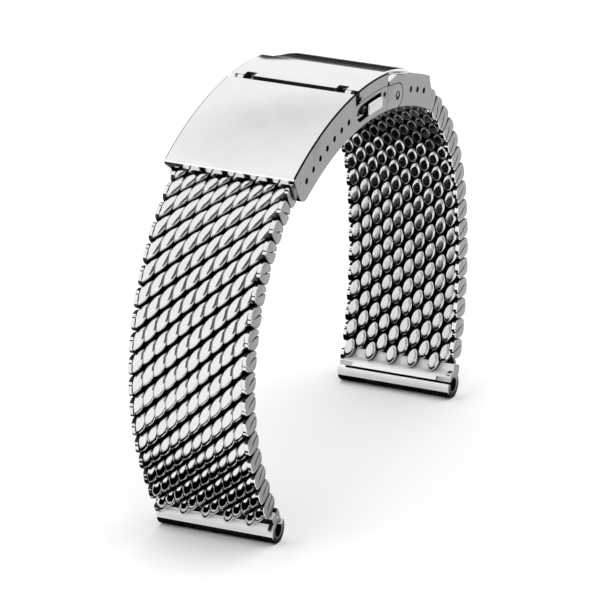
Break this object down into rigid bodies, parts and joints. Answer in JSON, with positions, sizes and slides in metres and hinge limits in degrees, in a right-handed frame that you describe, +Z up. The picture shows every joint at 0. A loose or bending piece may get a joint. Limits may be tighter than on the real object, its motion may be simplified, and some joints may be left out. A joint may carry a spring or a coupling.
{
  "type": "mesh watch band",
  "caption": "Polished steel mesh watch band, closed into an arch: interlocked wire coils in two halves, rolled end tubes, and a folding clasp with side holes, push buttons and a safety flap",
  "frame": {"origin": "middle of the axis of the front lug tube's bore", "axes": "+X along the lug tubes, to the picture's right; +Y from the front half to the rear half; +Z up through the clasp"},
  "size_m": [0.0228, 0.0837, 0.0647],
  "materials": {
    "mesh_steel": "polished, ground flat on both faces",
    "polished_steel": "polished",
    "satin_steel": "satin"
  },
  "bodies": {
    "base": {"lower_blade": "satin_steel", "blade_hinge_pin": "satin_steel", "rear_housing_pin": "satin_steel"},
    "middle_blade": {"middle_blade": "satin_steel"},
    "cover": {"cover": "polished_steel", "flap_hinge_pin": "satin_steel", "cover_hinge_pin": "satin_steel", "button_spring": "satin_steel", "spring_bar_front": "satin_steel"},
    "safety_flap": {"safety_flap": "polished_steel"},
    "button_left": {"button_left": "polished_steel"},
    "button_right": {"button_right": "polished_steel"},
    "tip_front_left": {"tip_front_left": "satin_steel"},
    "tip_front_right": {"tip_front_right": "satin_steel"},
    "rear_housing": {"rear_housing": "polished_steel", "spring_bar_rear": "satin_steel"},
    "tip_rear_left": {"tip_rear_left": "satin_steel"},
    "tip_rear_right": {"tip_rear_right": "satin_steel"},
    "front_00": {"mesh_front_00": "mesh_steel", "lug_tube_front": "polished_steel"},
    "rear_00": {"mesh_rear_00": "mesh_steel", "lug_tube_rear": "polished_steel"},
    "front_01": {"mesh_front_01": "mesh_steel"},
    "rear_01": {"mesh_rear_01": "mesh_steel"},
    "front_02": {"mesh_front_02": "mesh_steel"},
    "rear_02": {"mesh_rear_02": "mesh_steel"},
    "front_03": {"mesh_front_03": "mesh_steel"},
    "rear_03": {"mesh_rear_03": "mesh_steel"},
    "front_04": {"mesh_front_04": "mesh_steel"},
    "rear_04": {"mesh_rear_04": "mesh_steel"},
    "front_05": {"mesh_front_05": "mesh_steel"},
    "rear_05": {"mesh_rear_05": "mesh_steel"},
    "front_06": {"mesh_front_06": "mesh_steel"},
    "rear_06": {"mesh_rear_06": "mesh_steel"},
    "front_07": {"mesh_front_07": "mesh_steel"},
    "rear_07": {"mesh_rear_07": "mesh_steel"},
    "front_08": {"mesh_front_08": "mesh_steel"},
    "rear_08": {"mesh_rear_08": "mesh_steel"},
    "front_09": {"mesh_front_09": "mesh_steel"},
    "rear_09": {"mesh_rear_09": "mesh_steel"},
    "front_10": {"mesh_front_10": "mesh_steel"},
    "rear_10": {"mesh_rear_10": "mesh_steel"},
    "front_11": {"mesh_front_11": "mesh_steel"},
    "rear_11": {"mesh_rear_11": "mesh_steel"},
    "front_12": {"mesh_front_12": "mesh_steel"},
    "rear_12": {"mesh_rear_12": "mesh_steel"},
    "front_13": {"mesh_front_13": "mesh_steel"},
    "rear_13": {"mesh_rear_13": "mesh_steel"},
    "front_14": {"mesh_front_14": "mesh_steel"},
    "rear_14": {"mesh_rear_14": "mesh_steel"},
    "front_15": {"mesh_front_15": "mesh_steel"},
    "rear_15": {"mesh_rear_15": "mesh_steel"},
    "front_16": {"mesh_front_16": "mesh_steel"},
    "rear_16": {"mesh_rear_16": "mesh_steel"},
    "front_17": {"mesh_front_17": "mesh_steel", "strap_tube_front": "polished_steel"},
    "rear_17": {"mesh_rear_17": "mesh_steel", "strap_tube_rear": "polished_steel"}
  },
  "joints": [
    {"name": "blade_hinge", "type": "hinge", "parent": "base", "child": "middle_blade", "pos_m": [0, 0.01618, 0.0551], "axis": [1, 0, 0], "range_deg": [0, 140]},
    {"name": "cover_hinge", "type": "hinge", "parent": "middle_blade", "child": "cover", "pos_m": [0, 0.03646, 0.05907], "axis": [1, 0, 0], "range_deg": [-140, 0]},
    {"name": "flap_hinge", "type": "hinge", "parent": "cover", "child": "safety_flap", "pos_m": [0, 0.02749, 0.06104], "axis": [1, 0, 0], "range_deg": [0, 95]},
    {"name": "housing_hinge", "type": "hinge", "parent": "base", "child": "rear_housing", "pos_m": [0, 0.04142, 0.05741], "axis": [1, 0, 0], "range_deg": [-25, 0]},
    {"name": "button_left_press", "type": "slide", "parent": "cover", "child": "button_left", "axis": [1, 0, 0], "range_m": [0, 0.0008], "stiffness_N_per_m": 400},
    {"name": "button_right_press", "type": "slide", "parent": "cover", "child": "button_right", "axis": [-1, 0, 0], "range_m": [0, 0.0008], "stiffness_N_per_m": 400},
    {"name": "tip_front_left_slide", "type": "slide", "parent": "cover", "child": "tip_front_left", "axis": [1, 0, 0], "range_m": [0, 0.0012], "stiffness_N_per_m": 400},
    {"name": "tip_rear_left_slide", "type": "slide", "parent": "rear_housing", "child": "tip_rear_left", "axis": [1, 0, 0], "range_m": [0, 0.0012], "stiffness_N_per_m": 400},
    {"name": "tip_front_right_slide", "type": "slide", "parent": "cover", "child": "tip_front_right", "axis": [-1, 0, 0], "range_m": [0, 0.0012], "stiffness_N_per_m": 400},
    {"name": "tip_rear_right_slide", "type": "slide", "parent": "rear_housing", "child": "tip_rear_right", "axis": [-1, 0, 0], "range_m": [0, 0.0012], "stiffness_N_per_m": 400},
    {"name": "front_swing", "type": "hinge", "parent": "cover", "child": "front_17", "pos_m": [0, 0.01042, 0.05508], "axis": [1, 0, 0], "range_deg": [-5, 45]},
    {"name": "rear_swing", "type": "hinge", "parent": "rear_housing", "child": "rear_17", "pos_m": [0, 0.04891, 0.05608], "axis": [1, 0, 0], "range_deg": [-45, 5]},
    {"name": "front_link_16", "type": "hinge", "parent": "front_17", "child": "front_16", "pos_m": [0, 0.00549, 0.05235], "axis": [1, 0, 0], "range_deg": [-8, 2]},
    {"name": "rear_link_16", "type": "hinge", "parent": "rear_17", "child": "rear_16", "pos_m": [0, 0.05393, 0.05352], "axis": [1, 0, 0], "range_deg": [-2, 8]},
    {"name": "front_link_15", "type": "hinge", "parent": "front_16", "child": "front_15", "pos_m": [0, 0.00274, 0.05042], "axis": [1, 0, 0], "range_deg": [-8, 2]},
    {"name": "rear_link_15", "type": "hinge", "parent": "rear_16", "child": "rear_15", "pos_m": [0, 0.05675, 0.05169], "axis": [1, 0, 0], "range_deg": [-2, 8]},
    {"name": "front_link_14", "type": "hinge", "parent": "front_15", "child": "front_14", "pos_m": [0, 0.00021, 0.04821], "axis": [1, 0, 0], "range_deg": [-8, 2]},
    {"name": "rear_link_14", "type": "hinge", "parent": "rear_15", "child": "rear_14", "pos_m": [0, 0.05936, 0.04958], "axis": [1, 0, 0], "range_deg": [-2, 8]},
    {"name": "front_link_13", "type": "hinge", "parent": "front_14", "child": "front_13", "pos_m": [0, -0.00208, 0.04575], "axis": [1, 0, 0], "range_deg": [-8, 2]},
    {"name": "rear_link_13", "type": "hinge", "parent": "rear_14", "child": "rear_13", "pos_m": [0, 0.06173, 0.0472], "axis": [1, 0, 0], "range_deg": [-2, 8]},
    {"name": "front_link_12", "type": "hinge", "parent": "front_13", "child": "front_12", "pos_m": [0, -0.0041, 0.04307], "axis": [1, 0, 0], "range_deg": [-8, 2]},
    {"name": "rear_link_12", "type": "hinge", "parent": "rear_13", "child": "rear_12", "pos_m": [0, 0.06384, 0.04458], "axis": [1, 0, 0], "range_deg": [-2, 8]},
    {"name": "front_link_11", "type": "hinge", "parent": "front_12", "child": "front_11", "pos_m": [0, -0.00583, 0.04018], "axis": [1, 0, 0], "range_deg": [-8, 2]},
    {"name": "rear_link_11", "type": "hinge", "parent": "rear_12", "child": "rear_11", "pos_m": [0, 0.06567, 0.04176], "axis": [1, 0, 0], "range_deg": [-2, 8]},
    {"name": "front_link_10", "type": "hinge", "parent": "front_11", "child": "front_10", "pos_m": [0, -0.00724, 0.03714], "axis": [1, 0, 0], "range_deg": [-8, 2]},
    {"name": "rear_link_10", "type": "hinge", "parent": "rear_11", "child": "rear_10", "pos_m": [0, 0.06718, 0.03876], "axis": [1, 0, 0], "range_deg": [-2, 8]},
    {"name": "front_link_09", "type": "hinge", "parent": "front_10", "child": "front_09", "pos_m": [0, -0.00833, 0.03396], "axis": [1, 0, 0], "range_deg": [-8, 2]},
    {"name": "rear_link_09", "type": "hinge", "parent": "rear_10", "child": "rear_09", "pos_m": [0, 0.06838, 0.03562], "axis": [1, 0, 0], "range_deg": [-2, 8]},
    {"name": "front_link_08", "type": "hinge", "parent": "front_09", "child": "front_08", "pos_m": [0, -0.00907, 0.03068], "axis": [1, 0, 0], "range_deg": [-8, 2]},
    {"name": "rear_link_08", "type": "hinge", "parent": "rear_09", "child": "rear_08", "pos_m": [0, 0.06924, 0.03237], "axis": [1, 0, 0], "range_deg": [-2, 8]},
    {"name": "front_link_07", "type": "hinge", "parent": "front_08", "child": "front_07", "pos_m": [0, -0.00948, 0.02735], "axis": [1, 0, 0], "range_deg": [-8, 2]},
    {"name": "rear_link_07", "type": "hinge", "parent": "rear_08", "child": "rear_07", "pos_m": [0, 0.06975, 0.02905], "axis": [1, 0, 0], "range_deg": [-4.5, 6]},
    {"name": "front_link_06", "type": "hinge", "parent": "front_07", "child": "front_06", "pos_m": [0, -0.00952, 0.02398], "axis": [1, 0, 0], "range_deg": [-8, 2]},
    {"name": "rear_link_06", "type": "hinge", "parent": "rear_07", "child": "rear_06", "pos_m": [0, 0.07008, 0.02571], "axis": [1, 0, 0], "range_deg": [-4.5, 6]},
    {"name": "front_link_05", "type": "hinge", "parent": "front_06", "child": "front_05", "pos_m": [0, -0.00922, 0.02064], "axis": [1, 0, 0], "range_deg": [-8, 2]},
    {"name": "rear_link_05", "type": "hinge", "parent": "rear_06", "child": "rear_05", "pos_m": [0, 0.07022, 0.02235], "axis": [1, 0, 0], "range_deg": [-4.5, 6]},
    {"name": "front_link_04", "type": "hinge", "parent": "front_05", "child": "front_04", "pos_m": [0, -0.00857, 0.01734], "axis": [1, 0, 0], "range_deg": [-8, 2]},
    {"name": "rear_link_04", "type": "hinge", "parent": "rear_05", "child": "rear_04", "pos_m": [0, 0.07018, 0.01899], "axis": [1, 0, 0], "range_deg": [-4.5, 6]},
    {"name": "front_link_03", "type": "hinge", "parent": "front_04", "child": "front_03", "pos_m": [0, -0.00757, 0.01413], "axis": [1, 0, 0], "range_deg": [-8, 2]},
    {"name": "rear_link_03", "type": "hinge", "parent": "rear_04", "child": "rear_03", "pos_m": [0, 0.06996, 0.01564], "axis": [1, 0, 0], "range_deg": [-4.5, 6]},
    {"name": "front_link_02", "type": "hinge", "parent": "front_03", "child": "front_02", "pos_m": [0, -0.00624, 0.01105], "axis": [1, 0, 0], "range_deg": [-6, 5]},
    {"name": "rear_link_02", "type": "hinge", "parent": "rear_03", "child": "rear_02", "pos_m": [0, 0.06955, 0.01231], "axis": [1, 0, 0], "range_deg": [-4.5, 6]},
    {"name": "front_link_01", "type": "hinge", "parent": "front_02", "child": "front_01", "pos_m": [0, -0.00477, 0.00803], "axis": [1, 0, 0], "range_deg": [-6, 5]},
    {"name": "rear_link_01", "type": "hinge", "parent": "rear_02", "child": "rear_01", "pos_m": [0, 0.06895, 0.009], "axis": [1, 0, 0], "range_deg": [-4.5, 6]},
    {"name": "front_link_00", "type": "hinge", "parent": "front_01", "child": "front_00", "pos_m": [0, -0.00314, 0.00509], "axis": [1, 0, 0], "range_deg": [-6, 5]},
    {"name": "rear_link_00", "type": "hinge", "parent": "rear_01", "child": "rear_00", "pos_m": [0, 0.06818, 0.00573], "axis": [1, 0, 0], "range_deg": [-4.5, 6]}
  ],
  "couplings": [
    {"joint": "cover_hinge", "follows": "blade_hinge", "ratio": -1}
  ]
}
